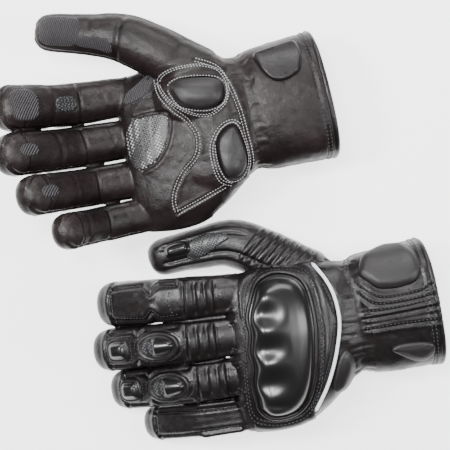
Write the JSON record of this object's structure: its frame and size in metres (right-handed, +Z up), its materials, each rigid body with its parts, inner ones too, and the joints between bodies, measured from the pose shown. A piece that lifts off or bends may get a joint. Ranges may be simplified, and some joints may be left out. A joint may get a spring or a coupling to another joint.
{
  "type": "riding gloves",
  "caption": "Pair of black leather riding gloves with hard knuckle guards, finger and palm sliders, flex panels and short cuffs; one lies back up, one palm up.",
  "frame": {"origin": "on the surface the gloves lie on, under the middle of the pair", "axes": "+X from the fingers to the cuffs, +Y from the left glove to the right glove, +Z up"},
  "size_m": [0.2898, 0.2826, 0.0919],
  "materials": {
    "leather": "satin",
    "hard_shell": "polished",
    "stretch": "matt ribbed",
    "mesh": "raised dots",
    "piping": "reflective",
    "lining": "knitted",
    "hook_and_loop": "fuzzy"
  },
  "bodies": {
    "left_hand": {"left_back_shell": "leather", "left_palm_shell": "leather", "left_hand_lining": "lining", "left_knuckle_guard": "hard_shell", "left_guard_surround": "leather", "left_reflective_piping": "piping", "left_ulna_pad": "leather", "left_palm_sliders": "hard_shell", "left_grip_panel": "mesh"},
    "left_cuff": {"left_cuff_shell": "leather", "left_cuff_binding": "leather", "left_cuff_pads": "leather", "left_loop_patch": "hook_and_loop"},
    "left_flap": {"left_hook_patch": "hook_and_loop", "left_cuff_flap": "leather"},
    "left_index_base": {"left_index_base_stall": "leather", "left_index_stretch_panel": "stretch"},
    "left_index_tip": {"left_index_tip_stall": "leather"},
    "left_middle_base": {"left_middle_base_stall": "leather", "left_middle_stretch_panel": "stretch"},
    "left_middle_tip": {"left_middle_tip_stall": "leather", "left_middle_sliders": "hard_shell"},
    "left_ring_base": {"left_ring_base_stall": "leather", "left_ring_stretch_panel": "stretch"},
    "left_ring_tip": {"left_ring_tip_stall": "leather", "left_ring_sliders": "hard_shell"},
    "left_little_base": {"left_little_base_stall": "leather"},
    "left_little_tip": {"left_little_tip_stall": "leather"},
    "left_thumb_base": {"left_thumb_base_stall": "leather"},
    "left_thumb_tip": {"left_thumb_tip_stall": "leather"},
    "right_hand": {"right_back_shell": "leather", "right_palm_shell": "leather", "right_hand_lining": "lining", "right_knuckle_guard": "hard_shell", "right_guard_surround": "leather", "right_reflective_piping": "piping", "right_ulna_pad": "leather", "right_palm_sliders": "hard_shell", "right_grip_panel": "mesh"},
    "right_cuff": {"right_cuff_shell": "leather", "right_cuff_binding": "leather", "right_cuff_pads": "leather", "right_loop_patch": "hook_and_loop"},
    "right_flap": {"right_hook_patch": "hook_and_loop", "right_cuff_flap": "leather"},
    "right_index_base": {"right_index_base_stall": "leather", "right_index_stretch_panel": "stretch"},
    "right_index_tip": {"right_index_tip_stall": "leather"},
    "right_middle_base": {"right_middle_base_stall": "leather", "right_middle_stretch_panel": "stretch"},
    "right_middle_tip": {"right_middle_tip_stall": "leather", "right_middle_sliders": "hard_shell"},
    "right_ring_base": {"right_ring_base_stall": "leather", "right_ring_stretch_panel": "stretch"},
    "right_ring_tip": {"right_ring_tip_stall": "leather", "right_ring_sliders": "hard_shell"},
    "right_little_base": {"right_little_base_stall": "leather"},
    "right_little_tip": {"right_little_tip_stall": "leather"},
    "right_thumb_base": {"right_thumb_base_stall": "leather"},
    "right_thumb_tip": {"right_thumb_tip_stall": "leather"}
  },
  "joints": [
    {"name": "left_wrist", "type": "hinge", "parent": "left_hand", "child": "left_cuff", "pos_m": [0.08495, -0.05667, 0.03367], "axis": [-0.1219, 0.9925, 0], "range_deg": [-15, 15]},
    {"name": "left_flap_hinge", "type": "hinge", "parent": "left_cuff", "child": "left_flap", "pos_m": [0.10207, -0.01756, 0.01269], "axis": [0.9779, 0.1903, -0.0869], "range_deg": [0, 90]},
    {"name": "left_index_knuckle", "type": "hinge", "parent": "left_hand", "child": "left_index_base", "pos_m": [0.00257, -0.0421, 0.03667], "axis": [0.1219, -0.9925, 0], "range_deg": [-11, 39]},
    {"name": "left_index_middle", "type": "hinge", "parent": "left_index_base", "child": "left_index_tip", "pos_m": [-0.02624, -0.04513, 0.03515], "axis": [0.1219, -0.9925, 0], "range_deg": [-15, 45]},
    {"name": "left_middle_knuckle", "type": "hinge", "parent": "left_hand", "child": "left_middle_base", "pos_m": [0.00592, -0.0694, 0.03767], "axis": [0.1219, -0.9925, 0], "range_deg": [-10, 40]},
    {"name": "left_middle_middle", "type": "hinge", "parent": "left_middle_base", "child": "left_middle_tip", "pos_m": [-0.02478, -0.0736, 0.03659], "axis": [0.1219, -0.9925, 0], "range_deg": [-14, 46]},
    {"name": "left_ring_knuckle", "type": "hinge", "parent": "left_hand", "child": "left_ring_base", "pos_m": [0.00921, -0.0962, 0.03667], "axis": [0.1219, -0.9925, 0], "range_deg": [-11, 39]},
    {"name": "left_ring_middle", "type": "hinge", "parent": "left_ring_base", "child": "left_ring_tip", "pos_m": [-0.01746, -0.10018, 0.03526], "axis": [0.1219, -0.9925, 0], "range_deg": [-16, 44]},
    {"name": "left_little_knuckle", "type": "hinge", "parent": "left_hand", "child": "left_little_base", "pos_m": [0.01225, -0.12101, 0.03367], "axis": [0.1219, -0.9925, 0], "range_deg": [-15, 35]},
    {"name": "left_little_middle", "type": "hinge", "parent": "left_little_base", "child": "left_little_tip", "pos_m": [-0.01225, -0.1249, 0.03062], "axis": [0.1219, -0.9925, 0], "range_deg": [-18, 42]},
    {"name": "left_thumb_root", "type": "hinge", "parent": "left_hand", "child": "left_thumb_base", "pos_m": [0.05742, -0.02932, 0.02667], "axis": [0, 0, -1], "range_deg": [0, 4]},
    {"name": "left_thumb_middle", "type": "hinge", "parent": "left_thumb_base", "child": "left_thumb_tip", "pos_m": [0.00645, -0.00663, 0.02179], "axis": [0, 0, 1], "range_deg": [-1.5, 0]},
    {"name": "right_glove_lift", "type": "slide", "parent": "left_hand", "child": "right_hand", "axis": [0, 0, 1], "range_m": [0, 0.15]},
    {"name": "right_wrist", "type": "hinge", "parent": "right_hand", "child": "right_cuff", "pos_m": [0.01418, 0.07725, 0.03607], "axis": [0.1736, -0.9848, 0], "range_deg": [-15, 15]},
    {"name": "right_flap_hinge", "type": "hinge", "parent": "right_cuff", "child": "right_flap", "pos_m": [0.03305, 0.11788, 0.05206], "axis": [-0.963, -0.2406, 0.1216], "range_deg": [0, 90]},
    {"name": "right_index_knuckle", "type": "hinge", "parent": "right_hand", "child": "right_index_base", "pos_m": [-0.06886, 0.08749, 0.03307], "axis": [-0.1736, 0.9848, 0], "range_deg": [-18, 32]},
    {"name": "right_index_middle", "type": "hinge", "parent": "right_index_base", "child": "right_index_tip", "pos_m": [-0.09703, 0.08278, 0.0381], "axis": [-0.1736, 0.9848, 0], "range_deg": [-27, 33]},
    {"name": "right_middle_knuckle", "type": "hinge", "parent": "right_hand", "child": "right_middle_base", "pos_m": [-0.06408, 0.06041, 0.03207], "axis": [-0.1736, 0.9848, 0], "range_deg": [-20, 30]},
    {"name": "right_middle_middle", "type": "hinge", "parent": "right_middle_base", "child": "right_middle_tip", "pos_m": [-0.09386, 0.05466, 0.03851], "axis": [-0.1736, 0.9848, 0], "range_deg": [-29, 31]},
    {"name": "right_ring_knuckle", "type": "hinge", "parent": "right_hand", "child": "right_ring_base", "pos_m": [-0.05939, 0.03382, 0.03307], "axis": [-0.1736, 0.9848, 0], "range_deg": [-22, 28]},
    {"name": "right_ring_middle", "type": "hinge", "parent": "right_ring_base", "child": "right_ring_tip", "pos_m": [-0.08508, 0.02867, 0.0396], "axis": [-0.1736, 0.9848, 0], "range_deg": [-31, 29]},
    {"name": "right_little_knuckle", "type": "hinge", "parent": "right_hand", "child": "right_little_base", "pos_m": [-0.05505, 0.0092, 0.03607], "axis": [-0.1736, 0.9848, 0], "range_deg": [-26, 24]},
    {"name": "right_little_middle", "type": "hinge", "parent": "right_little_base", "child": "right_little_tip", "pos_m": [-0.07829, 0.00417, 0.04379], "axis": [-0.1736, 0.9848, 0], "range_deg": [-34, 26]},
    {"name": "right_thumb_root", "type": "hinge", "parent": "right_hand", "child": "right_thumb_base", "pos_m": [-0.01475, 0.10312, 0.04307], "axis": [0, 0, -1], "range_deg": [-3, 15]},
    {"name": "right_thumb_middle", "type": "hinge", "parent": "right_thumb_base", "child": "right_thumb_tip", "pos_m": [-0.0655, 0.12679, 0.04307], "axis": [0, 0, 1], "range_deg": [-13, 4]}
  ],
  "couplings": [
    {"joint": "left_index_middle", "follows": "left_index_knuckle", "ratio": 1.15},
    {"joint": "left_middle_middle", "follows": "left_middle_knuckle", "ratio": 1.14},
    {"joint": "left_ring_middle", "follows": "left_ring_knuckle", "ratio": 1.12},
    {"joint": "left_little_middle", "follows": "left_little_knuckle", "ratio": 1.2},
    {"joint": "left_thumb_middle", "follows": "left_thumb_root", "ratio": -0.3},
    {"joint": "right_index_middle", "follows": "right_index_knuckle", "ratio": 1.03},
    {"joint": "right_middle_middle", "follows": "right_middle_knuckle", "ratio": 1.03},
    {"joint": "right_ring_middle", "follows": "right_ring_knuckle", "ratio": 1.03},
    {"joint": "right_little_middle", "follows": "right_little_knuckle", "ratio": 1.08},
    {"joint": "right_thumb_middle", "follows": "right_thumb_root", "ratio": -0.8}
  ]
}
